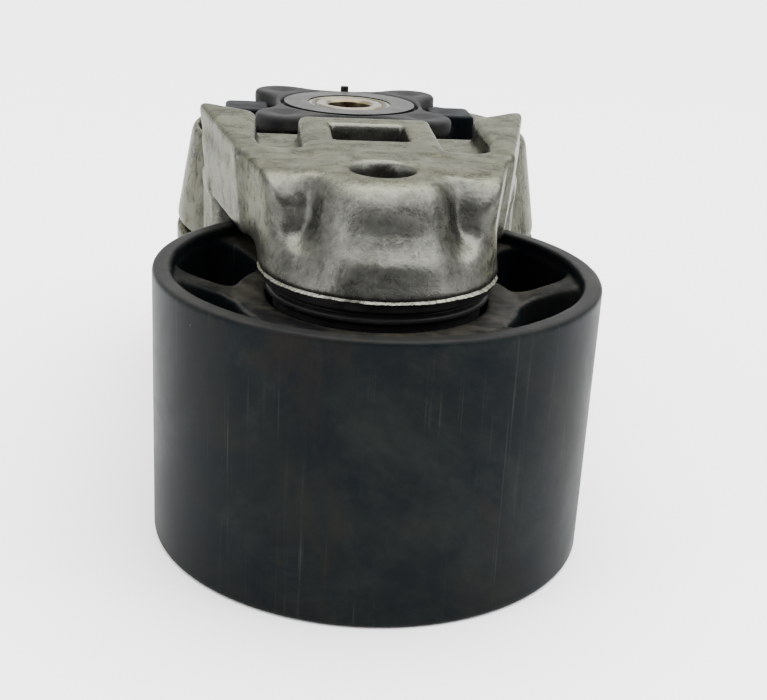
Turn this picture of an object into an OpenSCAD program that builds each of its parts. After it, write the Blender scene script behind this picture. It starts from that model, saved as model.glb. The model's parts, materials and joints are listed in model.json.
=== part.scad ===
// Automatic belt tensioner with a smooth idler pulley, in millimetres.
// Origin: axis of the mounting bore at the mounting face. +Z runs along the bore,
// away from the engine. The arm points along -Y, with the pulley axis at Y = -arm_length.

/* [Arm] */
// Distance from the pivot axis to the pulley axis
arm_length = 86; // [85.5:0.5:90]
// Height of the ears, the highest point of the arm, above the mounting face
arm_top = 69.2; // [68.4:0.2:70]
// Fall of the arm's top face from the ears towards the pulley, in degrees
top_slope = 1.35; // [0:0.05:2]
// Height of the arm's underside above the mounting face
arm_under = 51.2; // [51:0.1:52]
// Half width of the arm at its front face
nose_half = 21.3; // [20:0.1:22]
// Sideways spread of each side wall per millimetre of length
wall_flare = 0.222; // [0.2:0.001:0.23]
// Travel of the arm between its two stops, in degrees
arm_travel = 40; // [20:1:45]

/* [Tool slot] */
// Width of the square drive slot
slot_w = 14.6; // [13:0.2:15]
// Length of the square drive slot
slot_l = 14; // [13:0.2:14.4]
// Depth of the square drive slot
slot_depth = 14.4; // [11:0.2:15]

/* [Pulley] */
// Outer radius of the pulley
pulley_r = 40; // [39:0.5:40]
// Width of the belt face
pulley_w = 50; // [49:0.5:50]
// Number of spokes on each side of the web
spoke_n = 8; // [6:1:10]
// Width of a spoke
spoke_w = 4.8; // [4:0.2:6]
// Radius in the corners of a pocket
pocket_corner = 3.6; // [2:0.2:4]

/* [Cup] */
// Sideways offset of the cup's outer wall from the pivot axis
cup_shift = 2.8; // [0:0.1:3]
// Radius of the base
base_r = 43.3; // [43:0.1:43.6]
// Height of the base wall
base_h = 35.4; // [34:0.2:35.6]
// Radius of the arm's skirt at the parting line
skirt_r = 43.3; // [42.8:0.1:43.4]
// Radius of the arm's skirt at its shoulder
shoulder_r = 39.4; // [39:0.1:39.8]
// Height of the shoulder above the mounting face
shoulder_z = 59; // [57:0.2:59.6]

/* [Mounting] */
// Radius of the mounting bore
bore_r = 5.25; // [5.1:0.05:5.5]
// Radius of the blind hole for the locating dowel
dowel_r = 3.1; // [2:0.1:4]
// Distance of the dowel hole from the bore
dowel_y = 30; // [26:1:32]

/* [Hidden] */
$fn = 96;
over = 0.5;            // overshoot of a cutter past a face

// pivot stack
tube_r = 8;
tube_top = 64.2;
collar_r = 9.8;
disc_r = 15.4;
disc_top = 64.4;
disc_t = 1.2;
floor_t = 7;
cup_inner_r = 38;
hub_r = 13;
hub_bore_r = 9.5;
hub_bottom = 9.2;
roof_z = 50;
recess_z = 54.6;
recess_r = 35;
ring_top = 41.4;       // upper edge of the friction ring
spring_room_r = 34;
skirt_inner_r = 38.3;
skirt_bottom = 36;
running_gap = 0.05;

// spider plate and cover
spider_z = 60.6;
spider_t = 2.4;
waist = 18.8;
lobe_at = 15.8;
lobe_r = 6.4;
lobe_top = 64.4;
cover_r = 25;
tab_x = 29.4;
tab_half = 6.5;

// tension spring
wire_r = 3;
coil_r = 27;
coil_start = 80;       // angle of the lower wire end, degrees
coil_turns = 5;
coil_z0 = 11;
coil_pitch = 6.9;
wire_sides = 10;
coil_steps = 24;

// travel stop
stop_half = 4;         // half angle of the stop lug, degrees
stop_gap = 0.4;        // angle left between lug and window, degrees
stop_z = 41.5;

// pulley end
hub_out = 26;
hub_top = 44.5;
hub_low = 3.5;
rim_in = 36.4;
rim_edge = 0.4;
web_low = 22;
web_high = 28;
seat_r = 20;
flange_r = 21.4;
flange_low = 49.6;
nose_top = 67.8;
bulge_r = 14;
top_hole_r = 5.45;
top_hole_chamfer = 6.4;
bolt_r = 5;
bolt_end = 61.6;
spigot_r = 11;

// bearings: 17 x 40 x 12
bearing_w = 12;
low_z = 12.4;
high_z = 26.6;
ring_bore = 8.5;
pitch_r = 14.25;
ball_r = 3.375;
race_r = 3.5;
race_land = 2.65;      // from the pitch circle to each ring's land
ball_n = 8;
seal_t = 0.9;
seal_in = 0.4;
snap_t = 1.75;

// ear, block and notch outlines, all relative to the pivot
ear_tip = -27.5;
ear_inner = 20.6;
ear_edge = 22.3;
ear_back_r = 44.2;     // radius of the ears' rear faces, about the pivot
leg_shift = 1.4;
front_round = 9;       // radius over the front edge of the beam
groove_x = 12.9;
groove_r = 2;
notch_z = 63;
plate_back = -68.5;
block_half = 13.5;
block_back = -42.2;
slot_y = -56;
nose_y = -94;

function wall_x(y) = nose_half + wall_flare * (y - nose_y);
function at(r, a) = [r * cos(a), r * sin(a)];

// ---- shared shapes -----------------------------------------------------

// ring between two radii, from z0 up to z1
module ring(r_out, r_in, z0, z1) {
  difference() {
    translate([0, 0, z0]) cylinder(r = r_out, h = z1 - z0);
    translate([0, 0, z0 - over]) cylinder(r = r_in, h = z1 - z0 + 2 * over);
  }
}

// wedge from angle a0 to a1, for cutting; the span stays under 170 degrees
module wedge(r, a0, a1, z0, z1) {
  mid = (a0 + a1) / 2;
  translate([0, 0, z0]) linear_extrude(z1 - z0)
    polygon([[0, 0], at(r, a0), at(r * 1.4, mid), at(r, a1)]);
}

// moves children to the pulley axis
module at_pulley() {
  translate([0, -arm_length, 0]) children();
}

// ---- base body ---------------------------------------------------------

module base_cup() {
  color("darkgray") difference() {
    union() {
      difference() {
        translate([cup_shift, 0, 0]) cylinder(r = base_r, h = base_h);
        translate([0, 0, floor_t]) cylinder(r = cup_inner_r, h = base_h);
      }
      // central boss that holds the pivot tube
      translate([0, 0, 1]) cylinder(r = hub_r, h = floor_t);
      // spring abutment on the floor
      intersection() {
        ring(31, 22.5, floor_t - 1, floor_t + 6);
        wedge(40, coil_start + arm_travel + 6, coil_start + arm_travel + 18, 0, 20);
      }
      // stop lug that stands into the arm's window
      intersection() {
        ring(skirt_r - 1.2, skirt_inner_r + 0.4, base_h - 2, stop_z);
        wedge(50, 90 - stop_half, 90 + stop_half, 20, 60);
      }
    }
    translate([0, 0, -over]) cylinder(r = tube_r, h = 20);
    translate([0, dowel_y, -over]) cylinder(r = dowel_r, h = 5 + over);
  }
}

module pivot_tube() {
  color("darkkhaki") difference() {
    cylinder(r = tube_r, h = tube_top);
    translate([0, 0, -over]) cylinder(r = bore_r, h = tube_top + 2 * over);
  }
}

module tube_collar() {
  color("silver")
    ring(collar_r, tube_r, spider_z + 0.2, tube_top);
}

module retainer_disc() {
  color("dimgray")
    ring(disc_r, collar_r, disc_top - disc_t, disc_top);
}

module thrust_washer() {
  color("dimgray")
    ring(hub_r - 0.2, tube_r, floor_t + 1, hub_bottom - 0.15);
}

module friction_ring() {
  color("black") difference() {
    ring(cup_inner_r, cup_inner_r - 2.4, base_h - 12, ring_top);
    // split, so that the ring can be sprung into the cup
    wedge(50, -94, -86, 0, 60);
  }
}

// ---- arm body ----------------------------------------------------------

// plan of the beam from the nose to just inside the cup
module beam_plan() {
  corner = 4;
  back = -36;
  polygon([
    [-nose_half + corner, nose_y], [nose_half - corner, nose_y],
    [nose_half, nose_y + corner], [wall_x(back), back],
    [-wall_x(back), back], [-nose_half, nose_y + corner]
  ]);
}

// plan of the right ear, between the notch and the side wall
module ear_plan() {
  polygon([
    [ear_inner, plate_back - 2], [wall_x(plate_back - 2) - 0.01, plate_back - 2],
    [wall_x(ear_tip), ear_tip], [ear_edge, -31], [ear_edge, -62]
  ]);
}

// plan of the leg under the right ear, outside the skirt
module leg_plan() {
  front = -41;
  polygon([
    [26, front], [wall_x(front) - 1, front], [wall_x(ear_tip) - 1, ear_tip], [26, -27]
  ]);
}

// turned boss that carries the pulley
module nose_boss() {
  at_pulley() rotate_extrude() polygon([
    [0, 38.6], [spigot_r, 38.6], [spigot_r, 46], [hub_r, 46], [hub_r, flange_low],
    [flange_r, flange_low], [flange_r, 53.2], [flange_r - 0.8, 54], [20.4, 55.6],
    [17.6, 57.8], [bulge_r + 1.6, 61], [bulge_r + 0.8, 63.6], [bulge_r - 1, 66.4],
    [bulge_r - 4.5, nose_top], [0, nose_top]
  ]);
}

// conical skirt over the spring, with its roof and the bushing hub
module skirt() {
  difference() {
    union() {
      translate([cup_shift, 0, skirt_bottom])
        cylinder(r1 = skirt_r, r2 = shoulder_r, h = shoulder_z - skirt_bottom);
      translate([0, 0, hub_bottom]) cylinder(r = hub_r, h = 42);
      // legs of the ears, down to the parting line
      for (side = [0, 1]) mirror([side, 0, 0])
        translate([side == 0 ? leg_shift : -leg_shift, 0, skirt_bottom])
          linear_extrude(arm_under - skirt_bottom + 2) leg_plan();
    }
    // room for the spring, around the hub
    ring(skirt_inner_r, hub_r, skirt_bottom - over, ring_top + 0.8);
    ring(spring_room_r, hub_r, ring_top, roof_z);
    // recess for the cover
    translate([0, 0, recess_z]) cylinder(r = recess_r, h = 20);
    // window in which the stop lug travels
    intersection() {
      ring(60, cup_inner_r - 2, skirt_bottom - over, stop_z + 0.8);
      wedge(55, 90 - arm_travel - stop_half - stop_gap, 90 + stop_half + stop_gap,
            skirt_bottom - 2, stop_z + 2);
    }
  }
}

// takes the front edge off the beam, leaving a quarter round
module front_edge_cutter() {
  difference() {
    translate([-40, nose_y - 1, nose_top - front_round])
      cube([80, front_round + 1, front_round + 5]);
    translate([-41, nose_y + front_round, nose_top - front_round])
      rotate([0, 90, 0]) cylinder(r = front_round, h = 82);
  }
}

module tension_arm() {
  color("lightslategray") difference() {
    union() {
      skirt();
      nose_boss();
      // beam: a flat plate behind the nose, then the lower floors of the notches
      difference() {
        translate([0, 0, arm_under]) linear_extrude(arm_top - arm_under) beam_plan();
        translate([-50, plate_back, notch_z]) cube([100, 80, 20]);
        translate([0, 0, recess_z]) cylinder(r = recess_r, h = 20);
        front_edge_cutter();
      }
      // block around the tool slot
      translate([-block_half, plate_back - 4, arm_under])
        cube([2 * block_half, block_back - plate_back + 4, arm_top - arm_under]);
      // ears, which end in an arc about the pivot above the shoulder
      difference() {
        for (side = [0, 1]) mirror([side, 0, 0])
          translate([0, 0, arm_under]) linear_extrude(arm_top - arm_under) ear_plan();
        translate([0, 0, shoulder_z]) cylinder(r = ear_back_r, h = 20);
      }
    }
    // top face, which falls towards the pulley
    translate([-60, ear_tip, arm_top]) rotate([top_slope, 0, 0])
      translate([0, -100, 0]) cube([120, 100, 10]);
    // tool slot
    translate([-slot_w / 2, slot_y - slot_l / 2, arm_top - slot_depth])
      cube([slot_w, slot_l, 30]);
    // grooves beside the bulge
    for (side = [-1, 1])
      translate([side * groove_x, nose_y - 1, 56]) cylinder(r = groove_r, h = 20);
    // threaded hole for the pulley bolt, with its wider top
    at_pulley() translate([0, 0, 30]) cylinder(r = bolt_r, h = 50);
    at_pulley() translate([0, 0, 60]) cylinder(r = top_hole_r, h = 20);
    at_pulley() translate([0, 0, nose_top - 1])
      cylinder(r1 = top_hole_r, r2 = top_hole_chamfer + 0.2, h = 1.2);
    // bore for the bushings
    translate([0, 0, 2]) cylinder(r = hub_bore_r, h = 60);
    // hole for the index pin
    translate([0, 18, roof_z + 1]) cylinder(r = 1, h = 30);
  }
}

module spider_plate() {
  color("darkslategray") difference() {
    union() {
      translate([-waist, -waist, spider_z]) cube([2 * waist, 2 * waist, spider_t]);
      for (sx = [-1, 1], sy = [-1, 1])
        translate([sx * lobe_at, sy * lobe_at, spider_z])
          cylinder(r = lobe_r, h = lobe_top - spider_z);
    }
    // the retainer disc turns over the middle of the plate
    translate([0, 0, spider_z + spider_t]) cylinder(r = disc_r + 0.6, h = 10);
    translate([0, 0, spider_z - over]) cylinder(r = collar_r + 0.4, h = 10);
    translate([0, 18, 50]) cylinder(r = 1, h = 20);
  }
}

module spring_cover() {
  color("black") difference() {
    union() {
      translate([0, 0, recess_z]) cylinder(r = cover_r, h = spider_z - recess_z);
      // tabs that stand up beside the waists of the spider plate
      for (side = [-1, 1])
        translate([side > 0 ? waist + 0.2 : -tab_x, -tab_half, recess_z])
          cube([tab_x - waist - 0.2, 2 * tab_half, spider_z + spider_t - recess_z]);
    }
    translate([0, 0, recess_z - over]) cylinder(r = collar_r + 0.4, h = 20);
    translate([0, 18, 40]) cylinder(r = 1, h = 30);
  }
}

module upper_bushing() {
  color("tan") ring(hub_bore_r, tube_r + running_gap, 36, recess_z);
}

module lower_bushing() {
  color("tan") ring(hub_bore_r, tube_r + running_gap, hub_bottom, 28);
}

// one ring of points around the wire, at step i along the coil
function coil_ring(i) =
  let (a = coil_start - 360 * i / coil_steps, z = coil_z0 + coil_pitch * i / coil_steps)
  [for (k = [0 : wire_sides - 1])
    let (b = 360 * k / wire_sides, r = coil_r + wire_r * cos(b))
    [r * cos(a), r * sin(a), z + wire_r * sin(b)]];

module torsion_spring() {
  last = coil_turns * coil_steps;
  points = [for (i = [0 : last]) each coil_ring(i)];
  sides = [for (i = [0 : last - 1], k = [0 : wire_sides - 1])
    let (n = (k + 1) % wire_sides, p = i * wire_sides, q = p + wire_sides)
    [p + k, p + n, q + n, q + k]];
  start = [[for (k = [wire_sides - 1 : -1 : 0]) k]];
  end = [[for (k = [0 : wire_sides - 1]) last * wire_sides + k]];
  color("steelblue") polyhedron(points, concat(sides, start, end));
}

module spring_sleeve() {
  color("black") ring(hub_r + 1.8, hub_r, 12, 44);
}

module index_pin() {
  color("gray") translate([0, 18, roof_z + 1]) cylinder(r = 1, h = tube_top + 1.1 - roof_z - 1);
}

module pulley_bolt() {
  head_low = 3.9;
  head_high = 10.3;
  hex_r = 9.24;
  color("silver") at_pulley() {
    difference() {
      union() {
        translate([0, 0, head_low]) cylinder(r = hex_r, h = head_high - head_low, $fn = 6);
        translate([0, 0, head_high - 1]) cylinder(r = bolt_r, h = bolt_end - head_high);
        translate([0, 0, bolt_end - 1]) cylinder(r1 = bolt_r, r2 = bolt_r - 0.9, h = 0.9);
      }
      // dished end of the shank
      translate([0, 0, bolt_end - 0.6]) cylinder(r1 = 1.2, r2 = 2.6, h = 1);
    }
  }
}

module bolt_washer() {
  color("silver") at_pulley() ring(spigot_r, bolt_r + 0.1, 10.3, low_z);
}

module bearing_sleeve() {
  color("gray") at_pulley() ring(ring_bore, bolt_r + 0.1, low_z, high_z + bearing_w);
}

module inner_spacer() {
  color("gray") at_pulley() ring(spigot_r, ring_bore, low_z + bearing_w, high_z);
}

module dust_shield() {
  color("black") at_pulley() rotate_extrude() polygon([
    [spigot_r, 41.4], [18.8, 41.4], [18.8, 45.2], [20.1, 45.8], [20.1, 46.6],
    [19.2, 47], [19.2, 47.5], [20.8, 48], [20.8, flange_low], [hub_r, flange_low],
    [hub_r, 46], [spigot_r, 46]
  ]);
}

// ---- bearings ----------------------------------------------------------

// track for the balls, cut from both rings
module race(z) {
  rotate_extrude() translate([pitch_r, z + bearing_w / 2]) circle(r = race_r, $fn = 48);
}

module outer_ring(z) {
  color("silver") at_pulley() difference() {
    ring(seat_r, pitch_r + race_land, z, z + bearing_w);
    race(z);
  }
}

module inner_ring(z) {
  color("silver") at_pulley() difference() {
    ring(pitch_r - race_land, ring_bore, z, z + bearing_w);
    race(z);
  }
}

// both seals of one bearing, pressed into the outer ring
module seals(z) {
  color("black") at_pulley() for (side = [seal_in, bearing_w - seal_in - seal_t])
    ring(pitch_r + race_land, pitch_r - race_land + 0.3, z + side, z + side + seal_t);
}

module balls(z) {
  color("silver") at_pulley() for (i = [0 : ball_n - 1])
    rotate([0, 0, i * 360 / ball_n])
      translate([pitch_r, 0, z + bearing_w / 2]) sphere(r = ball_r, $fn = 48);
}

module cage(z) {
  cage_half = 4.3;
  color("goldenrod") at_pulley() difference() {
    ring(pitch_r + 1.3, pitch_r - 1.3, z + bearing_w / 2 - cage_half,
         z + bearing_w / 2 + cage_half);
    for (i = [0 : ball_n - 1]) rotate([0, 0, i * 360 / ball_n])
      translate([pitch_r - 4, 0, z + bearing_w / 2]) rotate([0, 90, 0])
        cylinder(r = race_r, h = 8);
  }
}

module snap_ring(z) {
  color("dimgray") at_pulley() difference() {
    ring(seat_r + 0.9, seat_r - 1.9, z, z + snap_t);
    translate([-3, 0, z - over]) cube([6, 40, snap_t + 2 * over]);
  }
}

module upper_outer_ring() { outer_ring(high_z); }
module lower_outer_ring() { outer_ring(low_z); }
module upper_inner_ring() { inner_ring(high_z); }
module lower_inner_ring() { inner_ring(low_z); }
module upper_seals() { seals(high_z); }
module lower_seals() { seals(low_z); }
module upper_balls() { balls(high_z); }
module lower_balls() { balls(low_z); }
module upper_cage() { cage(high_z); }
module lower_cage() { cage(low_z); }
module upper_snap_ring() { snap_ring(high_z + bearing_w); }
module lower_snap_ring() { snap_ring(low_z - snap_t); }

// ---- pulley body -------------------------------------------------------

// points along a corner arc of a pocket
function corner_arc(centre, a0, a1) =
  [for (k = [0 : 5]) centre + at(pocket_corner, a0 + (a1 - a0) * k / 5)];

// outline of one pocket between two spokes, centred on the +X axis
module pocket_plan() {
  half = 180 / spoke_n;
  r_in = hub_out + pocket_corner;
  r_out = rim_in - pocket_corner;
  side = spoke_w / 2 + pocket_corner;
  // angle at which a corner's centre lies, at radius r
  a_in = half - asin(side / r_in);
  a_out = half - asin(side / r_out);
  polygon(concat(
    corner_arc(at(r_in, -a_in), 180 - a_in, 270 - half),
    corner_arc(at(r_out, -a_out), -90 - half, -a_out),
    [for (k = [1 : 3]) at(rim_in, -a_out + 2 * a_out * k / 4)],
    corner_arc(at(r_out, a_out), a_out, 90 + half),
    corner_arc(at(r_in, a_in), 90 + half, 180 + a_in),
    [for (k = [1 : 3]) at(hub_out, a_in - 2 * a_in * k / 4)]
  ));
}

// turned blank of the pulley, with its seats and grooves for the snap rings
module pulley_blank() {
  groove_r = 21;
  rib_r = 17.6;
  cone = 3.5;
  rotate_extrude() polygon([
    [seat_r, hub_low], [hub_out, hub_low], [rim_in, hub_low - 1.5],
    [rim_in + 0.2, rim_edge], [rim_in + rim_edge, 0], [pulley_r - rim_edge, 0],
    [pulley_r, rim_edge], [pulley_r, pulley_w - rim_edge],
    [pulley_r - rim_edge, pulley_w], [rim_in + rim_edge, pulley_w],
    [rim_in + 0.2, pulley_w - rim_edge], [rim_in, hub_top + cone],
    [hub_out, hub_top], [seat_r, hub_top],
    [seat_r, high_z + bearing_w + snap_t + 0.05],
    [groove_r, high_z + bearing_w + snap_t + 0.05], [groove_r, high_z + bearing_w],
    [seat_r, high_z + bearing_w], [seat_r, high_z], [rib_r, high_z],
    [rib_r, low_z + bearing_w], [seat_r, low_z + bearing_w], [seat_r, low_z],
    [groove_r, low_z], [groove_r, low_z - snap_t - 0.05],
    [seat_r, low_z - snap_t - 0.05]
  ]);
}

module pulley() {
  color("dimgray") at_pulley() difference() {
    pulley_blank();
    for (i = [0 : spoke_n - 1]) rotate([0, 0, (i + 0.5) * 360 / spoke_n]) {
      translate([0, 0, web_high]) linear_extrude(40) pocket_plan();
      translate([0, 0, web_low - 40]) linear_extrude(40) pocket_plan();
    }
  }
}

module dust_cap() {
  color("black") at_pulley() rotate_extrude() polygon([
    [0, 1.3], [21, 1.3], [21.5, 1.8], [21.5, hub_low], [seat_r - 0.05, hub_low],
    [seat_r - 0.05, 8.5], [18.4, 8.5], [18.4, 3.1], [0, 3.1]
  ]);
}

base_cup();
pivot_tube();
tube_collar();
retainer_disc();
thrust_washer();
friction_ring();
tension_arm();
spider_plate();
spring_cover();
upper_bushing();
lower_bushing();
torsion_spring();
spring_sleeve();
index_pin();
pulley_bolt();
bolt_washer();
bearing_sleeve();
inner_spacer();
dust_shield();
upper_inner_ring();
lower_inner_ring();
pulley();
upper_outer_ring();
lower_outer_ring();
upper_seals();
lower_seals();
upper_snap_ring();
lower_snap_ring();
dust_cap();
upper_balls();
lower_balls();
upper_cage();
lower_cage();
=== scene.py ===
import json
import math

import bpy
import numpy as np
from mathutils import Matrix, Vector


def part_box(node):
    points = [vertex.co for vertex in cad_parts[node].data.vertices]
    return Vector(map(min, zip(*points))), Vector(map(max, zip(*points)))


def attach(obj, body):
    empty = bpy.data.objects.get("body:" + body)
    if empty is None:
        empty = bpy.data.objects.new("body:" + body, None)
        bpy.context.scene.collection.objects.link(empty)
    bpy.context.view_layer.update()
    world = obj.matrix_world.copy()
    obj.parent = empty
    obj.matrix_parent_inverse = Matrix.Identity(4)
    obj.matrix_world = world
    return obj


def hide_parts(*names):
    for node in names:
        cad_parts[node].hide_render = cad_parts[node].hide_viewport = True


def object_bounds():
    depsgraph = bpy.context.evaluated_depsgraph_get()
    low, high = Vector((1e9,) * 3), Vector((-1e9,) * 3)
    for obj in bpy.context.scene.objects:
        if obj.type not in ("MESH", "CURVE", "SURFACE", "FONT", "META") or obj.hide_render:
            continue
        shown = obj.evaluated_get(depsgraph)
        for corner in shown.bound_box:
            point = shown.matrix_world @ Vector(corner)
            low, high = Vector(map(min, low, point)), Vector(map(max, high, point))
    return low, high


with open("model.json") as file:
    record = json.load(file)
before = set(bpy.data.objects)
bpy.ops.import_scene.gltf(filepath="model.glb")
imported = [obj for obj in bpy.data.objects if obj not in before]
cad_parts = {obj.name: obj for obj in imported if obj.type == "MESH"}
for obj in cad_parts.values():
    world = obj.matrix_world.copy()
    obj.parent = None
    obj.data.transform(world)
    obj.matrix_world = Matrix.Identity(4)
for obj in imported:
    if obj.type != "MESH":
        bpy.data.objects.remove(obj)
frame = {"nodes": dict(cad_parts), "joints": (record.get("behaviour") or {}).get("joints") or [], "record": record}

import openvdb
from mathutils import Matrix, Vector

MM = 0.001
CAD_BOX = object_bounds()

# ---- places, all from the frame, in millimetres ---------------------------------------


def corners(node):
    """Lowest and highest corner of a CAD node, in millimetres."""
    low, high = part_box(node)
    return np.array(low) / MM, np.array(high) / MM


def joint_place(name):
    """A point on a joint's axis, in millimetres."""
    for joint in frame["joints"]:
        if joint["name"] == name:
            return np.array(joint["pos_m"]) / MM
    raise KeyError(name)


def mount(name):
    """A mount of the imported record."""
    for entry in frame["record"]["mounts"]:
        if entry["name"] == name:
            return entry
    raise KeyError(name)


TUBE_LOW, TUBE_HIGH = corners("pivot_tube")
SPIDER_LOW, SPIDER_HIGH = corners("spider_plate")
COVER_LOW, COVER_HIGH = corners("spring_cover")
DISC_UNDER = corners("retainer_disc")[0][2]
ARM_TOP = corners("tension_arm")[1][2]
PULLEY_Y = joint_place("pulley_spin")[1]
SLOT_Y = mount("tool_slot")["pos_m"][1] / MM
BORE_R = mount("mounting_bore")["dims"]["r_mm"]

# ---- signed distance fields ----------------------------------------------------------


class Field:
    """A block of space, in millimetres, on which signed distances are sampled."""

    def __init__(self, low, high, step):
        self.low = np.array(low, np.float32)
        self.step = step
        count = np.ceil((np.array(high) - self.low) / step).astype(int) + 1
        axes = [self.low[i] + step * np.arange(count[i], dtype=np.float32) for i in range(3)]
        self.x = axes[0][:, None, None]
        self.y = axes[1][None, :, None]
        self.z = axes[2][None, None, :]
        self.heights = axes[2]


def fuse(a, b, k):
    """Smooth union: both shapes, with a fillet about k wide."""
    h = np.clip(0.5 + 0.5 * (b - a) / k, 0, 1)
    return b + (a - b) * h - k * h * (1 - h)


def common(a, b, k):
    """Smooth intersection."""
    return -fuse(-a, -b, k)


def cut(a, b, k):
    """Shape a less shape b, with the edge rounded over about k."""
    return -fuse(-a, b, k)


def slab(f, low, high):
    """Distance to the space between two heights."""
    return np.abs(f.z - (low + high) / 2) - (high - low) / 2


def round_join(d1, d2, r):
    """Intersection of two exact distances with a true radius r on the edge."""
    a = d1 + r
    b = d2 + r
    outside = np.sqrt(np.maximum(a, 0) ** 2 + np.maximum(b, 0) ** 2)
    return outside + np.minimum(np.maximum(a, b), 0) - r


def prism(f, plan, low, high, r=0.0):
    """A plan distance extruded between two heights."""
    return round_join(plan, slab(f, low, high), r)


def polygon(x, y, points):
    """Signed distance to a closed outline."""
    points = [np.array(p, float) for p in points]
    best = None
    inside = np.zeros(np.broadcast(x, y).shape, bool)
    for i, a in enumerate(points):
        b = points[i - 1]
        edge = b - a
        wx = x - a[0]
        wy = y - a[1]
        t = np.clip((wx * edge[0] + wy * edge[1]) / (edge @ edge), 0, 1)
        gap = (wx - edge[0] * t) ** 2 + (wy - edge[1] * t) ** 2
        best = gap if best is None else np.minimum(best, gap)
        crosses = (y >= a[1]) != (y >= b[1])
        if a[1] != b[1]:
            at_x = a[0] + (y - a[1]) * edge[0] / edge[1]
            inside ^= crosses & (x < at_x)
    return np.where(inside, -1, 1) * np.sqrt(best)


def blur(table, passes):
    """Averages neighbours, which rounds corners and leaves flat faces where they are."""
    for _ in range(passes):
        for axis in range(table.ndim):
            if table.shape[axis] < 3:
                continue
            pad = [(0, 0)] * table.ndim
            pad[axis] = (1, 1)
            wide = np.pad(table, pad, mode="reflect", reflect_type="odd")
            n = table.shape[axis]
            cuts = [wide.take(range(i, i + n), axis) for i in range(3)]
            table = (cuts[0] + 2 * cuts[1] + cuts[2]) / 4
    return table


def turned(f, centre, profile, passes=2):
    """A body of revolution about a vertical axis, from its outline of (radius, height)."""
    rho = np.sqrt((f.x - centre[0]) ** 2 + (f.y - centre[1]) ** 2)[:, :, 0]
    pitch = 0.2
    radii = np.arange(0, rho.max() + 2 * pitch, pitch)
    table = polygon(radii[:, None], f.heights[None, :].astype(float), profile)
    table = blur(table, passes).astype(np.float32)
    place = rho / pitch
    index = place.astype(int)
    part = (place - index)[:, :, None]
    return table[index] * (1 - part) + table[index + 1] * part


def disc(f, centre, r):
    """Distance to an upright cylinder's side."""
    return np.sqrt((f.x - centre[0]) ** 2 + (f.y - centre[1]) ** 2) - r


def frustum(f, centre, r_low, z_low, r_high, z_high):
    """Distance to a cone's side."""
    slope = (r_high - r_low) / (z_high - z_low)
    side = disc(f, centre, 0) - (r_low + slope * (f.z - z_low))
    return side / math.sqrt(1 + slope * slope)


def rect(f, x0, x1, y0, y1, r=0.0):
    """Plan distance to a rectangle with rounded corners."""
    dx = np.abs(f.x - (x0 + x1) / 2) - (x1 - x0) / 2
    dy = np.abs(f.y - (y0 + y1) / 2) - (y1 - y0) / 2
    return round_join(dx, dy, r)


def mesh_field(name, f, distance, passes=1):
    """Meshes the zero surface of a field as a new object, in metres."""
    distance = blur(np.ascontiguousarray(distance, np.float32), passes)
    grid = openvdb.FloatGrid(3 * f.step)
    grid.copyFromArray(np.ascontiguousarray(distance, np.float32))
    points, quads = grid.convertToQuads(0.0)
    points = (points * f.step + f.low) * MM
    quads = quads.astype(np.int64)
    a, b, c, d = (points[quads[:, i]] for i in range(4))
    volume = np.einsum("ij,ij->i", a, np.cross(b, c) + np.cross(c, d)).sum()
    if volume < 0:
        quads = quads[:, ::-1]
    mesh = bpy.data.meshes.new(name)
    mesh.vertices.add(len(points))
    mesh.vertices.foreach_set("co", points.astype(np.float32).ravel())
    mesh.loops.add(4 * len(quads))
    mesh.loops.foreach_set("vertex_index", quads.ravel().astype(np.int32))
    mesh.polygons.add(len(quads))
    mesh.polygons.foreach_set("loop_start", np.arange(0, 4 * len(quads), 4, dtype=np.int32))
    mesh.update(calc_edges=True)
    mesh.validate()
    mesh.polygons.foreach_set("use_smooth", np.ones(len(mesh.polygons), bool))
    piece = bpy.data.objects.new(name, mesh)
    bpy.context.scene.collection.objects.link(piece)
    return piece


def turned_mesh(name, centre, profile, segments=192):
    """A lathed closed mesh from an outline of (radius, height), both in millimetres."""
    verts = []
    faces = []
    n = len(profile)
    for s in range(segments):
        a = 2 * math.pi * s / segments
        for r, z in profile:
            verts.append(((centre[0] + r * math.cos(a)) * MM,
                          (centre[1] + r * math.sin(a)) * MM, z * MM))
    for s in range(segments):
        for i in range(n):
            p = s * n + i
            q = s * n + (i + 1) % n
            p2 = (p + n) % (segments * n)
            q2 = (q + n) % (segments * n)
            faces.append((p, p2, q2, q))
    mesh = bpy.data.meshes.new(name)
    mesh.from_pydata(verts, [], faces)
    mesh.update()
    piece = bpy.data.objects.new(name, mesh)
    bpy.context.scene.collection.objects.link(piece)
    mesh.polygons.foreach_set("use_smooth", np.ones(len(mesh.polygons), bool))
    return piece


def rounded_profile(points, r, steps=4):
    """Replaces each corner of a closed outline with a short arc-like curve."""
    out = []
    n = len(points)
    for i in range(n):
        p = Vector(points[i])
        before = Vector(points[i - 1]) - p
        after = Vector(points[(i + 1) % n]) - p
        reach = min(r, before.length * 0.45, after.length * 0.45)
        start = p + before.normalized() * reach
        end = p + after.normalized() * reach
        for k in range(steps + 1):
            t = k / steps
            out.append(tuple(start * (1 - t) ** 2 + p * 2 * t * (1 - t) + end * t * t))
    return out


# ---- materials -----------------------------------------------------------------------


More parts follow.
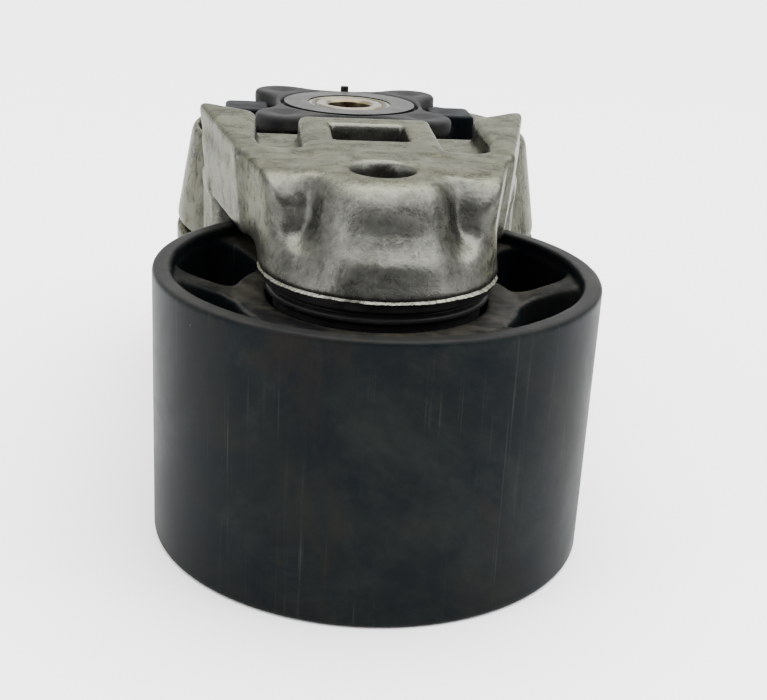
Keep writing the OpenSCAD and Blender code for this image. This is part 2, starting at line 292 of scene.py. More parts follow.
class Shader:
    """A small helper that builds a node material around one Principled shader."""

    def __init__(self, name):
        self.material = bpy.data.materials.new(name)
        self.material.use_nodes = True
        self.tree = self.material.node_tree
        self.bsdf = self.tree.nodes["Principled BSDF"]
        coords = self.tree.nodes.new("ShaderNodeTexCoord")
        self.place = coords.outputs["Object"]

    def link(self, a, b):
        self.tree.links.new(a, b)

    def put(self, socket, value):
        self.bsdf.inputs[socket].default_value = value

    def mapping(self, scale, turn=(0, 0, 0)):
        node = self.tree.nodes.new("ShaderNodeMapping")
        node.inputs["Scale"].default_value = scale
        node.inputs["Rotation"].default_value = turn
        self.link(self.place, node.inputs["Vector"])
        return node.outputs["Vector"]

    def noise(self, scale, detail=4.0, rough=0.55, vector=None, distortion=0.0):
        node = self.tree.nodes.new("ShaderNodeTexNoise")
        node.inputs["Scale"].default_value = scale
        node.inputs["Detail"].default_value = detail
        node.inputs["Roughness"].default_value = rough
        node.inputs["Distortion"].default_value = distortion
        self.link(self.place if vector is None else vector, node.inputs["Vector"])
        return node.outputs["Fac"]

    def cells(self, scale):
        node = self.tree.nodes.new("ShaderNodeTexVoronoi")
        node.inputs["Scale"].default_value = scale
        self.link(self.place, node.inputs["Vector"])
        return node.outputs["Distance"]

    def ramp(self, fac, *stops):
        """A colour ramp; each stop is (position, level or colour)."""
        node = self.tree.nodes.new("ShaderNodeValToRGB")
        ramp = node.color_ramp
        while len(ramp.elements) < len(stops):
            ramp.elements.new(0.5)
        for element, (at, colour) in zip(ramp.elements, stops):
            element.position = at
            if not isinstance(colour, tuple):
                colour = (colour, colour, colour)
            element.color = (*colour, 1.0)
        self.link(fac, node.inputs["Fac"])
        return node.outputs["Color"]

    def times(self, a, b):
        node = self.tree.nodes.new("ShaderNodeMath")
        node.operation = "MULTIPLY"
        self.link(a, node.inputs[0])
        self.link(b, node.inputs[1])
        return node.outputs[0]

    def mix(self, fac, a, b):
        node = self.tree.nodes.new("ShaderNodeMix")
        node.data_type = "RGBA"
        for socket, value in ((node.inputs["Factor"], fac), (node.inputs["A"], a),
                              (node.inputs["B"], b)):
            if isinstance(value, tuple):
                socket.default_value = (*value, 1.0)
            else:
                self.link(value, socket)
        return node.outputs["Result"]

    def height(self):
        """Height above the mounting face, in metres."""
        node = self.tree.nodes.new("ShaderNodeSeparateXYZ")
        self.link(self.place, node.inputs[0])
        return node.outputs["Z"]

    def normal_z(self):
        """How far the true surface faces up, from -1 to 1."""
        geometry = self.tree.nodes.new("ShaderNodeNewGeometry")
        split = self.tree.nodes.new("ShaderNodeSeparateXYZ")
        self.link(geometry.outputs["Normal"], split.inputs[0])
        return split.outputs["Z"]

    def edges(self):
        """Bright where the surface is convex."""
        geometry = self.tree.nodes.new("ShaderNodeNewGeometry")
        return geometry.outputs["Pointiness"]

    def bump(self, height, strength, distance, after=None):
        node = self.tree.nodes.new("ShaderNodeBump")
        node.inputs["Strength"].default_value = strength
        node.inputs["Distance"].default_value = distance
        self.link(height, node.inputs["Height"])
        if after is not None:
            self.link(after, node.inputs["Normal"])
        return node.outputs["Normal"]

    def finish(self, colour, roughness=None, normal=None):
        self.link(colour, self.bsdf.inputs["Base Color"])
        if roughness is not None:
            self.link(roughness, self.bsdf.inputs["Roughness"])
        if normal is not None:
            self.link(normal, self.bsdf.inputs["Normal"])
        return self.material


def cast_metal(name, tint=1.0):
    """Die-cast aluminium: mottled grey skin, fine grain, dust, scuffs, worn edges and painted shade in creases and
    hollows.
    """
    s = Shader(name)
    s.put("Metallic", 0.8)
    s.put("Specular IOR Level", 0.15)

    def grey(level, warm=0.9):
        return (level * tint, level * tint * 1.005, level * tint * warm)

    broad = s.noise(60, 5, 0.62, distortion=0.7)
    middle = s.noise(210, 7, 0.74, distortion=0.6)
    fine = s.noise(700, 6, 0.75)
    grain = s.noise(2600, 3, 0.6)
    skin = s.ramp(broad, (0.36, grey(0.034)), (0.5, grey(0.048)), (0.64, grey(0.07)))
    blotch = s.ramp(middle, (0.42, 0.0), (0.58, 0.65))
    mottled = s.mix(blotch, skin, grey(0.082))
    stain = s.ramp(s.noise(120, 7, 0.7, distortion=0.8), (0.54, 0.0), (0.67, 0.4))
    stained = s.mix(stain, mottled, grey(0.02))
    dust = s.ramp(s.noise(150, 8, 0.76, distortion=0.8), (0.38, 0.1), (0.58, 0.8))
    up = s.ramp(s.normal_z(), (0.6, 0.0), (0.95, 0.8))
    dusty = s.mix(s.times(dust, up), stained, grey(0.16, 0.76))
    pale = s.ramp(fine, (0.54, 0.0), (0.66, 0.5))
    speckled = s.mix(pale, dusty, grey(0.11, 0.85))
    dark = s.ramp(fine, (0.35, 0.5), (0.44, 0.0))
    pitted = s.mix(dark, speckled, grey(0.02))
    streak_at = s.mapping((1000, 260, 160), (0.3, 0.2, 0.1))
    streaks = s.ramp(s.noise(1.0, 7, 0.75, streak_at), (0.6, 0.0), (0.72, 0.5))
    scuffed = s.mix(streaks, pitted, grey(0.17, 0.82))
    # painted shade: concave places (low pointiness) are darkened towards a near-black grey, standing in for shade
    # in creases and grooves
    hollow = s.ramp(s.edges(), (0.42, 0.6), (0.49, 0.0))
    shaded = s.mix(hollow, scuffed, grey(0.012))
    worn = s.ramp(s.edges(), (0.54, 0.0), (0.62, 0.55))
    broken = s.times(worn, s.ramp(fine, (0.42, 0.1), (0.58, 1.0)))
    colour = s.mix(broken, shaded, grey(0.22, 0.85))
    edge_tint = s.ramp(middle, (0.36, grey(0.25, 0.87)), (0.62, grey(0.5, 0.87)))
    s.link(edge_tint, s.bsdf.inputs["Specular Tint"])
    rough = s.ramp(middle, (0.3, 0.22), (0.7, 0.36))
    first = s.bump(broad, 0.5, 0.0008)
    second = s.bump(middle, 0.3, 0.0003, first)
    third = s.bump(fine, 0.5, 0.00016, second)
    fourth = s.bump(grain, 0.3, 0.00004, third)
    return s.finish(colour, rough, fourth)


def pulley_plastic(name):
    """Near-black moulded idler: satin face with fine scratches, dust and worn rims."""
    s = Shader(name)
    s.put("Specular IOR Level", 0.031)
    cloud = s.noise(34, 7, 0.7, distortion=0.9)
    base = s.ramp(cloud, (0.34, (0.0021, 0.0037, 0.0052)), (0.5, (0.0036, 0.0048, 0.0054)),
                  (0.66, (0.0064, 0.0073, 0.0066)))
    smudge = s.ramp(s.noise(26, 9, 0.78, distortion=0.4), (0.5, 0.0), (0.64, 0.75))
    smudged = s.mix(smudge, base, (0.0085, 0.0105, 0.0095))
    upright = s.noise(1.0, 6, 0.7, s.mapping((1100, 1100, 12), (0.05, 0.03, 0)))
    slanted = s.noise(1.0, 5, 0.7, s.mapping((900, 900, 16), (0.1, 0.32, 0)))
    hair = s.ramp(upright, (0.58, 0.0), (0.72, 0.75))
    lines = s.mix(s.ramp(slanted, (0.62, 0.0), (0.72, 0.6)), hair, (1.0, 1.0, 1.0))
    patches = s.ramp(s.noise(45, 5, 0.65), (0.48, 0.1), (0.6, 1.0))
    scratched = s.mix(s.times(lines, patches), smudged, (0.022, 0.025, 0.022))
    rust_at = s.mapping((1, 1, 0.35))
    rust = s.ramp(s.noise(34, 7, 0.75, rust_at, 0.6), (0.56, 0.0), (0.68, 0.7))
    stained = s.mix(rust, scratched, (0.0100, 0.0074, 0.0056))
    up = s.ramp(s.normal_z(), (0.4, 0.0), (0.9, 1.0))
    film = s.mix(up, stained, (0.0042, 0.0045, 0.0043))
    settled = s.ramp(s.noise(70, 8, 0.75, distortion=0.5), (0.44, 0.0), (0.66, 0.7))
    below = s.ramp(s.height(), (0.0475, 1.0), (0.0490, 0.0))
    where = s.times(s.times(settled, up), below)
    dusty = s.mix(where, film, (0.040, 0.037, 0.029))
    worn = s.ramp(s.edges(), (0.53, 0.0), (0.62, 0.6))
    edged = s.mix(worn, dusty, (0.012, 0.0112, 0.0095))
    specks = s.ramp(s.cells(260), (0.02, 0.9), (0.06, 0.0))
    few = s.ramp(s.noise(40, 4, 0.7), (0.56, 0.0), (0.66, 1.0))
    colour = s.mix(s.times(specks, few), edged, (0.09, 0.08, 0.06))
    rough = s.ramp(cloud, (0.3, 0.34), (0.7, 0.5))
    normal = s.bump(lines, 0.12, 0.00006)
    normal = s.bump(s.noise(1400, 3, 0.6), 0.15, 0.00003, normal)
    return s.finish(colour, rough, normal)


def black_plastic(name, level=1.0, rough=(0.3, 0.5)):
    """Smooth moulded plastic with a little dust."""
    s = Shader(name)
    s.put("Specular IOR Level", 0.01)
    cloud = s.noise(120, 5, 0.6)
    low = (0.0014 * level, 0.0020 * level, 0.0028 * level)
    high = (0.0036 * level, 0.0042 * level, 0.0052 * level)
    base = s.ramp(cloud, (0.3, low), (0.7, high))
    dust = s.ramp(s.noise(300, 6, 0.7), (0.55, 0.0), (0.8, 0.35))
    colour = s.mix(dust, base, (0.03, 0.028, 0.025))
    return s.finish(colour, s.ramp(cloud, (0.3, rough[0]), (0.7, rough[1])),
                    s.bump(s.noise(1500, 3, 0.6), 0.15, 0.00003))


def spider_skin(name):
    """Dark grey composite, rubbed lighter on its high places."""
    s = Shader(name)
    s.put("Specular IOR Level", 0.028)
    cloud = s.noise(130, 6, 0.7, distortion=0.5)
    base = s.ramp(cloud, (0.3, (0.0075, 0.0080, 0.0084)), (0.7, (0.017, 0.0172, 0.0165)))
    rub = s.ramp(s.noise(1.0, 5, 0.7, s.mapping((300, 900, 300), (0, 0, 0.6))),
                 (0.5, 0.0), (0.8, 0.5))
    rubbed = s.mix(rub, base, (0.035, 0.034, 0.031))
    worn = s.ramp(s.edges(), (0.53, 0.0), (0.62, 0.6))
    colour = s.mix(worn, rubbed, (0.045, 0.044, 0.04))
    rough = s.ramp(cloud, (0.3, 0.42), (0.7, 0.6))
    return s.finish(colour, rough, s.bump(s.noise(900, 4, 0.6), 0.2, 0.00005))


def steel(name, tint, rough=(0.25, 0.42), dirt=0.4, ring=True):
    """Turned or ground steel, with fine concentric lines and some dirt."""
    s = Shader(name)
    s.put("Metallic", 1.0)
    cloud = s.noise(260, 5, 0.65)
    dark = tuple(0.62 * c for c in tint)
    base = s.ramp(cloud, (0.3, dark), (0.7, tint))
    grime = s.ramp(s.noise(500, 6, 0.7), (0.5, 0.0), (0.75, dirt))
    colour = s.mix(grime, base, tuple(0.22 * c for c in tint))
    height = s.noise(1.0, 3, 0.6, s.mapping((1800, 1800, 300) if ring else (400, 400, 2200)))
    return s.finish(colour, s.ramp(cloud, (0.3, rough[0]), (0.7, rough[1])),
                    s.bump(height, 0.15, 0.00003))


def rubber(name, level=1.0):
    """Dull dark rubber with a little dust."""
    s = Shader(name)
    s.put("Specular IOR Level", 0.1)
    cloud = s.noise(160, 5, 0.65)
    base = s.ramp(cloud, (0.3, (0.002 * level,) * 3), (0.7, (0.006 * level,) * 3))
    dust = s.ramp(s.noise(420, 6, 0.7), (0.55, 0.0), (0.8, 0.3))
    colour = s.mix(dust, base, (0.025, 0.023, 0.02))
    return s.finish(colour, s.ramp(cloud, (0.3, 0.38), (0.7, 0.55)),
                    s.bump(s.noise(1800, 3, 0.6), 0.2, 0.00003))


MATERIALS = {
    "cast_aluminium": cast_metal("cast_aluminium_skin"),
    "base_casting": cast_metal("base_casting_skin", 0.9),
    "zinc_yellow": steel("zinc_yellow_plate", (0.15, 0.125, 0.075), (0.22, 0.4)),
    "bright_steel": steel("bright_steel_turned", (0.14, 0.13, 0.092), (0.2, 0.38), 0.5),
    "plain_steel": steel("plain_steel_rubbed", (0.026, 0.026, 0.0235), (0.4, 0.56)),
    "bearing_steel": steel("bearing_steel_ground", (0.3, 0.31, 0.32), (0.12, 0.22), 0.1),
    "spring_steel": steel("spring_steel_oiled", (0.07, 0.073, 0.08), (0.3, 0.45)),
    "cage_brass": steel("cage_brass_machined", (0.33, 0.23, 0.09), (0.25, 0.4), 0.2),
    "pulley_plastic": pulley_plastic("pulley_plastic_moulded"),
    "black_plastic": black_plastic("black_plastic_moulded"),
    "spider_composite": spider_skin("spider_composite_skin"),
    "bushing_polymer": black_plastic("bushing_polymer_smooth", 14.0, (0.4, 0.55)),
    "shield_rubber": rubber("shield_rubber_skin", 2.2),
    "seal_rubber": rubber("seal_rubber_skin", 1.4),
}


def dress(piece, slot_name):
    piece.data.materials.clear()
    piece.data.materials.append(MATERIALS[slot_name])


def place(piece, body, slot_name, *nodes):
    """Gives a new piece its material and its body, and hides the CAD nodes it stands for."""
    dress(piece, slot_name)
    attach(piece, body)
    if nodes:
        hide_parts(*nodes)
    return piece


# ---- the arm -------------------------------------------------------------------------
# These repeat the CAD arm's own dimensions, in millimetres.

NOSE_Y = PULLEY_Y - 8
NOSE_HALF = 21.3
NOSE_TOP = 67.8
FRONT_ROUND = 9.5      # over the front edge of the beam
COLUMN_ROUND = 6.0     # on its two upright corners
FLARE = 0.222          # sideways spread of a side wall per millimetre of length
DRAFT = 0.09           # lean of the walls per millimetre of height
EAR_TIP = -27.5
EAR_INNER = 22.0
LEG_INNER = 26
TOP_FALL = math.tan(math.radians(1.35))
UNDER = 51.2
PLATE_BACK = -68.5
BLOCK_HALF = 13.6
BLOCK_BACK = -41.8
SLOT_HALF = 7.3
SLOT_DEPTH = 14.4
NOTCH_Z = 63
RECESS_Z = COVER_LOW[2]
RECESS_R = 35
SHOULDER_Z = 59
SHOULDER_R = 39.4
SKIRT_R = 43.3
SKIRT_BOTTOM = 36
CUP_SHIFT = 2.8
EAR_BACK_R = 44.2
FLANGE_LOW = 49.6
LINER_R = 38.3         # room for the friction ring
LINER_TOP = 42.2
SPRING_ROOM_R = 34
ROOF_Z = 50
HUB_R = 13
HUB_BOTTOM = 9.2
BUSHING_R = 9.5
BOLT_HOLE_R = 5.45
SHANK_R = 5.05
WINDOW_MIDDLE = 70     # of the stop window, degrees from +X
WINDOW_HALF = 24.9
ARC = 0.7              # millimetres per degree at the stop lug's radius
BASE_TOP = 35.4
CUP_INNER_R = 38
CUP_FLOOR = 7
LUG_AT = 90            # degrees from +X
LUG_HALF = 3.6
LUG_R = 40.4
LUG_TOP = 41.5


def wall_x(y):
    """Half width of the arm at a given Y."""
    return NOSE_HALF + FLARE * (y - NOSE_Y)


def nose_profile():
    """Outline of the turned boss over the pulley, (radius, height)."""
    return [(0, 40.6), (11, 40.6), (11, 46), (13, 46), (13, FLANGE_LOW), (21.4, FLANGE_LOW),
            (21.4, 50.1), (21.1, 51.0), (20.3, 52.5), (20.2, 53.8), (19.6, 55.6), (17.6, 57.8),
            (15.9, 60.2), (15.2, 62.6), (14.2, 64.8), (12.4, 66.6), (9.5, NOSE_TOP),
            (0, NOSE_TOP)]


def cast_arm():
    """The die-cast arm: beam, ears, boss over the pulley and the cup over the spring."""
    f = Field((-46, -111, 7), (49, 46, 71), 0.5)
    drop = ARM_TOP - f.z
    along = np.clip((f.y - NOSE_Y) / 66, 0, 1)
    # lower down, the middle plane of the rear leans a little to one side
    lean = (0.6 + 0.6 * np.clip(drop / 14, 0, 1)) * along
    x = np.abs(f.x - lean)
    lift = f.z + np.maximum(EAR_TIP - f.y, 0) * TOP_FALL
    taper = DRAFT * drop + 0.4 * along
    # beam over the pulley, with a flat plate in front and lower floors behind
    front = NOSE_Y + COLUMN_ROUND
    back = -37
    beam_plan = polygon(np.abs(f.x), f.y, [(-1, front), (NOSE_HALF - COLUMN_ROUND, front),
                                           (wall_x(back) - COLUMN_ROUND, back), (-1, back)])
    beam_plan = beam_plan - COLUMN_ROUND
    beam = prism(f, beam_plan + taper, UNDER, ARM_TOP + 4, 0.8)
    beam = common(beam, round_join(NOSE_Y - f.y, lift - ARM_TOP, FRONT_ROUND), 1.0)
    floor_cut = np.maximum(PLATE_BACK - f.y, NOTCH_Z - f.z)
    beam = cut(beam, floor_cut, 1.8)
    # block around the tool slot
    block_plan = rect(f, -BLOCK_HALF, BLOCK_HALF, PLATE_BACK - 6, BLOCK_BACK, 1.4)
    block = prism(f, block_plan, UNDER, ARM_TOP + 4)
    solid = fuse(beam, block, 1.8)
    # ears, which end in an arc about the pivot
    ear_plan = polygon(x, f.y, [(20.4, PLATE_BACK - 4), (wall_x(PLATE_BACK - 4), PLATE_BACK - 4),
                                (wall_x(EAR_TIP), EAR_TIP), (EAR_INNER, -31),
                                (EAR_INNER, -62)])
    ear = prism(f, blur(ear_plan, 2) + taper, UNDER, ARM_TOP + 4, 0.8)
    behind = common(disc(f, (0, 0), EAR_BACK_R), SHOULDER_Z - f.z, 1.0)
    ear = cut(ear, behind, 2.2)
    solid = fuse(solid, ear, 2.4)
    solid = common(solid, lift - ARM_TOP, 2.2)
    # boss over the pulley
    boss = turned(f, (0, PULLEY_Y), nose_profile(), 3)
    solid = common(fuse(solid, boss, 3.6), lift - ARM_TOP, 0.8)
    # cup: conical skirt, shoulder and legs of the ears
    skirt = frustum(f, (CUP_SHIFT, 0), SKIRT_R, SKIRT_BOTTOM, SHOULDER_R, SHOULDER_Z)
    skirt = common(skirt, slab(f, SKIRT_BOTTOM, SHOULDER_Z), 2.0)
    leg_plan = polygon(x, f.y, [(LEG_INNER, -41), (wall_x(-41) - 1.4, -41),
                                (wall_x(EAR_TIP) - 1.4, EAR_TIP), (LEG_INNER, -27)])
    leg = prism(f, blur(leg_plan, 3), SKIRT_BOTTOM, UNDER + 3, 0.6)
    cup = common(fuse(skirt, leg, 2.5), SKIRT_BOTTOM - f.z, 0.5)
    liner_room = np.maximum(disc(f, (0, 0), LINER_R), slab(f, 0, LINER_TOP))
    spring_room = np.maximum(disc(f, (0, 0), SPRING_ROOM_R), slab(f, 0, ROOF_Z))
    hollow = fuse(liner_room, spring_room, 0.8)
    cup = cut(cup, hollow, 0.6)
    hub = np.maximum(disc(f, (0, 0), HUB_R), slab(f, HUB_BOTTOM, 52))
    cup = fuse(cup, hub, 1.2)
    solid = fuse(solid, cup, 2.4)
    solid = cut(solid, np.maximum(disc(f, (0, 0), RECESS_R), RECESS_Z - f.z), 1.2)
    # tool slot
    slot_plan = rect(f, -SLOT_HALF, SLOT_HALF, SLOT_Y - 7, SLOT_Y + 7, 0.9)
    slot = prism(f, slot_plan, ARM_TOP - SLOT_DEPTH, 90, 0.8)
    solid = cut(solid, slot, 0.9)
    # valleys beside the bulge, which fade out towards the lip
    across = np.exp(-((np.abs(f.x + 0.4) - 13.4) / 2.6) ** 2)
    down = np.clip((f.z - 49) / 12, 0, 1)
    ahead = np.clip((NOSE_Y + 5 - f.y) / 4, 0, 1)
    solid = solid + 2.2 * across * down * down * (3 - 2 * down) * ahead
    # threaded hole with its wider, chamfered top
    hole = turned(f, (0, PULLEY_Y), [(0, 60), (BOLT_HOLE_R, 60), (BOLT_HOLE_R, 67.0),
                                     (6.2, 67.9), (6.2, 80), (0, 80)], 1)
    solid = cut(solid, hole, 0.5)
    shank = np.maximum(disc(f, (0, PULLEY_Y), SHANK_R), 30 - f.z)
    solid = cut(solid, shank, 0.4)
    # bore for the bushings
    solid = cut(solid, disc(f, (0, 0), BUSHING_R) + 0 * f.z, 0.4)
    # window for the stop lug
    angle = np.degrees(np.arctan2(f.y, f.x))
    window = (np.abs(angle - WINDOW_MIDDLE) - WINDOW_HALF) * ARC
    window = np.maximum(window, np.maximum(36.5 - disc(f, (0, 0), 0), slab(f, 30, 42.3)))
    solid = cut(solid, window, 0.6)
    return mesh_field("cast_arm", f, solid, 1)


place(cast_arm(), "arm", "cast_aluminium", "tension_arm")


def casting_flash():
    """Thin ragged fin of metal around the lower edge of the boss."""
    rng = np.random.default_rng(7)
    count = 420
    reach = np.zeros(count)
    for wave in (3, 7, 13, 29, 61, 97, 140):
        phase = rng.uniform(0, 2 * math.pi)
        turn = np.arange(count) * 2 * math.pi / count
        reach += np.sin(wave * turn + phase) / (1 + 0.06 * wave)
    reach = 0.06 + 0.15 * reach + rng.uniform(-0.08, 0.08, count)
    reach = np.clip(reach, -0.25, 0.6)
    verts = []
    faces = []
    z0 = FLANGE_LOW + 0.02
    root = 20.9
    for i in range(count):
        a = 2 * math.pi * i / count
        tip = 21.35 + reach[i]
        for r, z in ((root, z0), (tip, z0 + 0.02), (tip, z0 + 0.12), (root, z0 + 0.5)):
            verts.append((r * math.cos(a) * MM, (PULLEY_Y + r * math.sin(a)) * MM, z * MM))
    for i in range(count):
        j = (i + 1) % count
        for k in range(4):
            m = (k + 1) % 4
            faces.append((4 * i + k, 4 * j + k, 4 * j + m, 4 * i + m))
    mesh = bpy.data.meshes.new("casting_flash")
    mesh.from_pydata(verts, [], faces)
    mesh.update()
    piece = bpy.data.objects.new("casting_flash", mesh)
    bpy.context.scene.collection.objects.link(piece)
    return piece


place(casting_flash(), "arm", "cast_aluminium")


# ---- the base ------------------------------------------------------------------------


def cast_base():
    """The lower half of the cup, with its boss, stop lug and dowel hole."""
    f = Field((-45, -46, -1.5), (49, 46, 43), 0.5)
    outer = prism(f, disc(f, (CUP_SHIFT, 0), SKIRT_R - 0.06), 0.02, BASE_TOP, 1.0)
    inner = np.maximum(disc(f, (0, 0), CUP_INNER_R), CUP_FLOOR - f.z)
    solid = cut(outer, inner, 0.8)
    boss = np.maximum(disc(f, (0, 0), HUB_R), slab(f, 1, CUP_FLOOR + 1))
    solid = fuse(solid, boss, 1.2)
    angle = np.degrees(np.arctan2(f.y, f.x))
    lug = np.maximum((np.abs(angle - LUG_AT) - LUG_HALF) * ARC,
                     np.abs(disc(f, (0, 0), LUG_R)) - 1.7)
    lug = np.maximum(lug, slab(f, 33, LUG_TOP))
    solid = fuse(solid, lug, 0.3)
    solid = cut(solid, disc(f, (0, 0), TUBE_HIGH[0]) + 0 * f.z, 0.3)
    dowel = mount("dowel_hole")
    dowel_at = (dowel["pos_m"][0] / MM, dowel["pos_m"][1] / MM)
    hole = np.maximum(disc(f, dowel_at, dowel["dims"]["r_mm"]), f.z - 5)
    solid = cut(solid, hole, 0.5)
    return mesh_field("cast_base", f, solid, 1)


place(cast_base(), "base", "base_casting", "base_cup")

# ---- the plates around the pivot -----------------------------------------------------


def spider():
    """Plate with a lobe at each corner; the lobes stand higher than the middle."""
    low = SPIDER_LOW[2]
    high = SPIDER_HIGH[2]
    waist = 17.4
    lobe_at = 15.8
    lobe_r = 6.4
    f = Field((-25, -25, low - 1.5), (25, 25, high + 1.5), 0.3)
    plan = rect(f, -waist, waist, -waist, waist, 4)
    x = np.abs(f.x)
    y = np.abs(f.y)
    plan = fuse(plan, np.sqrt((x - lobe_at) ** 2 + (y - lobe_at) ** 2) - lobe_r, 6.0)
    solid = prism(f, plan, low, high, 1.1)
    # the middle is dished, so that the disc can lie in it
    dish_r = 60
    dish = np.sqrt(f.x ** 2 + f.y ** 2 + (f.z - high - dish_r + 1.4) ** 2) - dish_r
    solid = cut(solid, dish, 0.8)
    seat = np.maximum(disc(f, (0, 0), 16.2), DISC_UNDER - 0.25 - f.z)
    solid = cut(solid, seat, 0.8)
    solid = cut(solid, disc(f, (0, 0), 10.2) + 0 * f.z, 0.3)
    # shallow hollow in the flank of each lobe
    ball = np.sqrt((x - 15.5) ** 2 + (y - 15.5) ** 2 + (f.z - high - 5.6) ** 2) - 6.2
    solid = cut(solid, ball, 1.0)
    return mesh_field("lobed_plate", f, solid, 1)


place(spider(), "arm", "spider_composite", "spider_plate")


def cover():
    """Round cover under the spider, with a tab on each side."""
    f = Field((-31, -27, RECESS_Z - 1.5), (31, 27, COVER_HIGH[2] + 1.5), 0.4)
    solid = prism(f, disc(f, (0, 0), 25), RECESS_Z, SPIDER_LOW[2], 0.8)
    for side in (-1, 1):
        x0, x1 = sorted((side * 19.0, side * 29.3))
        solid = fuse(solid, prism(f, rect(f, x0, x1, -6.4, 6.4, 1.4), RECESS_Z,
                                  COVER_HIGH[2], 0.6), 0.6)
    solid = cut(solid, disc(f, (0, 0), 10.3) + 0 * f.z, 0.3)
    return mesh_field("cover_shell", f, solid, 1)


place(cover(), "arm", "black_plastic", "spring_cover")


def tube_sleeve():
    """Pivot tube with a chamfer in its mouth."""
    low, high = TUBE_LOW[2], TUBE_HIGH[2]
    r = TUBE_HIGH[0]
    outline = [(BORE_R, low), (r, low), (r, high - 0.5), (r - 0.4, high), (BORE_R + 0.6, high),
               (BORE_R, high - 0.6)]
    return turned_mesh("tube_sleeve", (0, 0), rounded_profile(outline, 0.12))


def collar_lip():
    """Bright ring around the tube, with a dark gap where the two meet."""
    low, high = corners("tube_collar")
    inner = TUBE_HIGH[0] + 0.02
    outline = [(inner, low[2]), (high[0], low[2]), (high[0], high[2]), (inner + 1.0, high[2]),
               (inner + 0.5, high[2] - 0.9), (inner, high[2] - 1.1)]
    return turned_mesh("collar_lip", (0, 0), rounded_profile(outline, 0.15))


SLOTS = {row["node"]: row["material_slot"] for row in frame["record"]["subparts"]}
place(tube_sleeve(), "base", SLOTS["pivot_tube"], "pivot_tube")
place(collar_lip(), "base", SLOTS["tube_collar"], "tube_collar")

# ---- the pulley ----------------------------------------------------------------------


def pulley_profile():
    """Outline of the turned blank, (radius, height); the hub holds both bearings."""
    return [(20, 3.5), (26, 3.5), (36.4, 2), (36.5, 0.4), (36.9, 0), (39.6, 0), (40, 0.4),
            (40, 49.6), (39.6, 50), (36.9, 50), (36.5, 49.6), (36.4, 48), (26, 44.5),
            (20, 44.5), (20, 40.4), (21, 40.4), (21, 38.6), (20, 38.6), (20, 26.6),
            (17.6, 26.6), (17.6, 24.4), (20, 24.4), (20, 12.4), (21, 12.4), (21, 10.6),
            (20, 10.6)]


def moulded_pulley():
    """The idler: turned blank with a ring of pockets sunk into each side of its web."""
    f = Field((-41, PULLEY_Y - 41, -1), (41, PULLEY_Y + 41, 51), 0.4)
    solid = turned(f, (0, PULLEY_Y), pulley_profile(), 0)
    spokes = 8
    hub_out = 26
    pocket_middle = 31.2
    web_low, web_high = 22, 28
    x = f.x
    y = f.y - PULLEY_Y
    rho = np.sqrt(x * x + y * y)
    angle = np.arctan2(y, x)
    wedge = 2 * math.pi / spokes
    fold = np.abs(np.mod(angle, wedge) - wedge / 2)
    # distance to the spoke's flank, which widens towards the rim
    u = rho * np.cos(fold)
    v = rho * np.sin(fold)
    half = wedge / 2
    flank = v * math.cos(half) - u * math.sin(half) + 2.4 + 0.06 * (rho - hub_out)
    band = np.abs(rho - pocket_middle) - (pocket_middle - hub_out)
    plan = round_join(flank, band, 3.6)
    deep = np.minimum(slab(f, web_high, 60), slab(f, -10, web_low))
    pocket = np.maximum(plan, deep)
    solid = cut(solid, pocket, 0.9)
    return mesh_field("moulded_pulley", f, solid, 0)


place(moulded_pulley(), "idler", "pulley_plastic", "pulley")


def ribbed_shield():
    """Stepped dust shield between the boss and the hub of the pulley."""
    outline = [(11, 41.4), (18.8, 41.4), (18.8, 45.2), (20.1, 45.8), (20.1, 46.6),
               (19.2, 47.0), (19.2, 47.5), (20.8, 48.0), (20.8, 49.55), (13.1, 49.55),
               (13.1, 46), (11, 46)]
    return turned_mesh("ribbed_shield", (0, PULLEY_Y), rounded_profile(outline, 0.35))


place(ribbed_shield(), "arm", "shield_rubber", "dust_shield")

# ---- CAD nodes that stay, with their own materials -----------------------------------

REPLACED = {"tension_arm", "base_cup", "spider_plate", "spring_cover", "pulley", "dust_shield",
            "pivot_tube", "tube_collar"}
for node, slot_name in SLOTS.items():
    if node not in REPLACED:
        dress(frame["nodes"][node], slot_name)

# ---- stage ---------------------------------------------------------------------------


def floor():
    """Plain pale floor just under the object."""
    s = Shader("pale_floor")
    tone = s.ramp(s.noise(3, 3, 0.5), (0.3, 0.86), (0.7, 0.88))
    s.finish(tone)
    s.put("Roughness", 0.9)
    half = 6.0
    mesh = bpy.data.meshes.new("floor")
    mesh.from_pydata([(-half, -half, 0), (half, -half, 0), (half, half, 0), (-half, half, 0)],
                     [], [(0, 1, 2, 3)])
    mesh.materials.append(s.material)
    piece = bpy.data.objects.new("floor", mesh)
    piece.location.z = CAD_BOX[0][2] - 0.0002
    bpy.context.scene.collection.objects.link(piece)


floor()


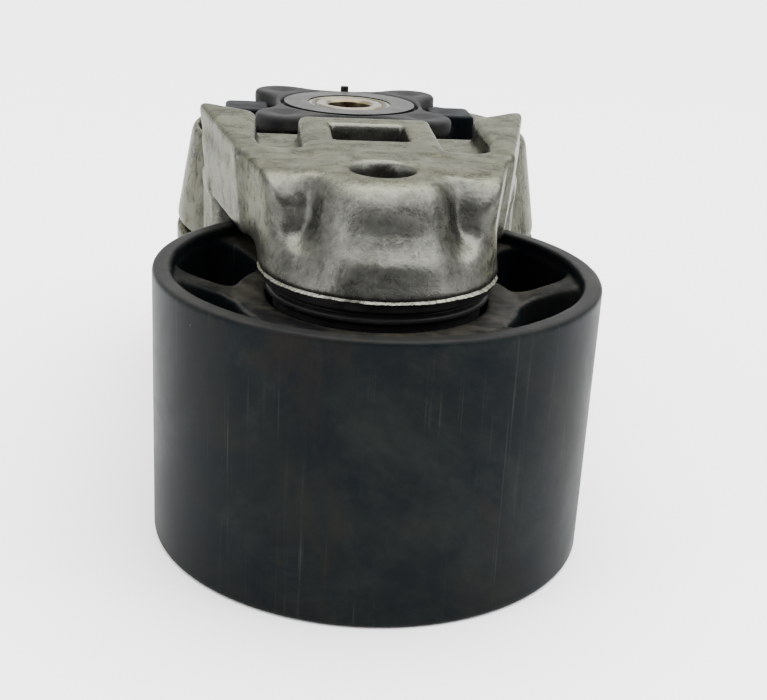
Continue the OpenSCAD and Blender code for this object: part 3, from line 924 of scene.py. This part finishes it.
def world_light(dark, bright):
    """A studio room: pale overhead and behind, darker on the side of the viewer."""
    world = bpy.data.worlds.new("studio")
    bpy.context.scene.world = world
    world.use_nodes = True
    tree = world.node_tree
    coords = tree.nodes.new("ShaderNodeTexCoord")
    split = tree.nodes.new("ShaderNodeSeparateXYZ")
    tree.links.new(coords.outputs["Generated"], split.inputs[0])
    add = tree.nodes.new("ShaderNodeMath")
    add.operation = "ADD"
    tree.links.new(split.outputs["Y"], add.inputs[0])
    tree.links.new(split.outputs["Z"], add.inputs[1])
    ramp = tree.nodes.new("ShaderNodeMapRange")
    ramp.inputs["From Min"].default_value = -0.7
    ramp.inputs["From Max"].default_value = 0.5
    ramp.inputs["To Min"].default_value = dark
    ramp.inputs["To Max"].default_value = bright
    tree.links.new(add.outputs[0], ramp.inputs["Value"])
    shade = tree.nodes["Background"]
    shade.inputs["Color"].default_value = (1.0, 1.0, 1.0, 1.0)
    tree.links.new(ramp.outputs["Result"], shade.inputs["Strength"])


def sun_light(name, direction, strength, spread):
    data = bpy.data.lights.new(name, "SUN")
    data.energy = strength
    data.angle = math.radians(spread)
    lamp = bpy.data.objects.new(name, data)
    lamp.rotation_euler = Vector(direction).to_track_quat("-Z", "Y").to_euler()
    bpy.context.scene.collection.objects.link(lamp)


def area_light(name, at, target, size, power):
    data = bpy.data.lights.new(name, "AREA")
    data.shape = "RECTANGLE"
    data.size = size[0]
    data.size_y = size[1]
    data.energy = power
    lamp = bpy.data.objects.new(name, data)
    lamp.location = at
    direction = Vector(target) - Vector(at)
    lamp.rotation_euler = direction.to_track_quat("-Z", "Y").to_euler()
    bpy.context.scene.collection.objects.link(lamp)


CENTRE = Vector((0, PULLEY_Y * 0.6 * MM, 0.03))
world_light(0.2, 2.3)
sun_light("overhead", (-0.2, -0.1, -1.0), 9.0, 80)
area_light("strip_left", (-0.5, -0.35, 0.3), CENTRE, (0.16, 0.5), 2.2)
area_light("strip_right", (0.5, -0.3, 0.32), CENTRE, (0.16, 0.5), 1.6)


def camera():
    """Camera at the photograph's viewing angle."""
    data = bpy.data.cameras.new("camera")
    data.sensor_width = 36.0
    data.lens = 61.05
    data.clip_start = 0.01
    eye = bpy.data.objects.new("camera", data)
    heading = math.radians(6.357)      # from +Y towards +X
    dip = math.radians(20.322)
    roll = math.radians(3.148)
    look = Vector((math.sin(heading) * math.cos(dip), math.cos(heading) * math.cos(dip),
                   -math.sin(dip)))
    aim = Vector((0.0018, PULLEY_Y * MM, 0.03392))
    distance = 0.23905
    turn = look.to_track_quat("-Z", "Y").to_matrix().to_4x4()
    eye.matrix_world = (Matrix.Translation(aim - look * distance) @ turn
                        @ Matrix.Rotation(roll, 4, "Z"))
    bpy.context.scene.collection.objects.link(eye)
    bpy.context.scene.camera = eye


camera()
